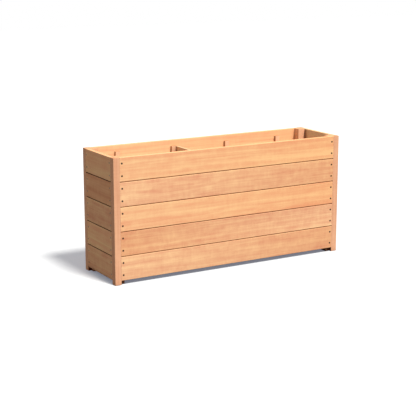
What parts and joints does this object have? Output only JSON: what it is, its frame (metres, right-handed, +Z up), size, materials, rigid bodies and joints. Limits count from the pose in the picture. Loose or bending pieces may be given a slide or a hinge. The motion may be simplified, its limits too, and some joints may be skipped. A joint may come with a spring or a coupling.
{
  "type": "wooden planter",
  "caption": "Long free-standing planter box of horizontal tongue-and-groove planks screwed into rabbeted corner posts that run down as short feet.",
  "frame": {"origin": "centre of the footprint on the ground, under the middle of the box", "axes": "+X along the length to the right end, +Y towards the back wall, +Z up"},
  "size_m": [1.6, 0.42, 0.76],
  "materials": {
    "post_wood": "planed hardwood, unsealed",
    "plank_wood": "planed hardwood, unsealed",
    "batten_wood": "planed hardwood, unsealed",
    "floor_wood": "planed hardwood, unsealed",
    "screw_steel": "black zinc plated"
  },
  "bodies": {
    "root": {"corner_post_front_left": "post_wood", "corner_post_front_right": "post_wood", "corner_post_back_left": "post_wood", "corner_post_back_right": "post_wood", "front_plank_1": "plank_wood", "front_plank_2": "plank_wood", "front_plank_3": "plank_wood", "front_plank_4": "plank_wood", "front_plank_5": "plank_wood", "back_plank_1": "plank_wood", "back_plank_2": "plank_wood", "back_plank_3": "plank_wood", "back_plank_4": "plank_wood", "back_plank_5": "plank_wood", "left_end_plank_1": "plank_wood", "left_end_plank_2": "plank_wood", "left_end_plank_3": "plank_wood", "left_end_plank_4": "plank_wood", "left_end_plank_5": "plank_wood", "right_end_plank_1": "plank_wood", "right_end_plank_2": "plank_wood", "right_end_plank_3": "plank_wood", "right_end_plank_4": "plank_wood", "right_end_plank_5": "plank_wood", "front_batten_1": "batten_wood", "front_batten_2": "batten_wood", "front_batten_3": "batten_wood", "front_batten_4": "batten_wood", "back_batten_1": "batten_wood", "back_batten_2": "batten_wood", "back_batten_3": "batten_wood", "back_batten_4": "batten_wood", "cross_tie": "batten_wood", "front_ledger": "floor_wood", "back_ledger": "floor_wood", "floor_board_1": "floor_wood", "floor_board_2": "floor_wood", "floor_board_3": "floor_wood", "floor_board_4": "floor_wood", "floor_board_5": "floor_wood", "floor_board_6": "floor_wood", "floor_board_7": "floor_wood", "floor_board_8": "floor_wood", "floor_board_9": "floor_wood", "floor_board_10": "floor_wood", "front_wall_screws": "screw_steel", "back_wall_screws": "screw_steel", "left_end_screws": "screw_steel", "right_end_screws": "screw_steel", "front_batten_screws": "screw_steel", "back_batten_screws": "screw_steel", "tie_screws": "screw_steel", "ledger_screws": "screw_steel", "floor_screws": "screw_steel"}
  },
  "joints": []
}
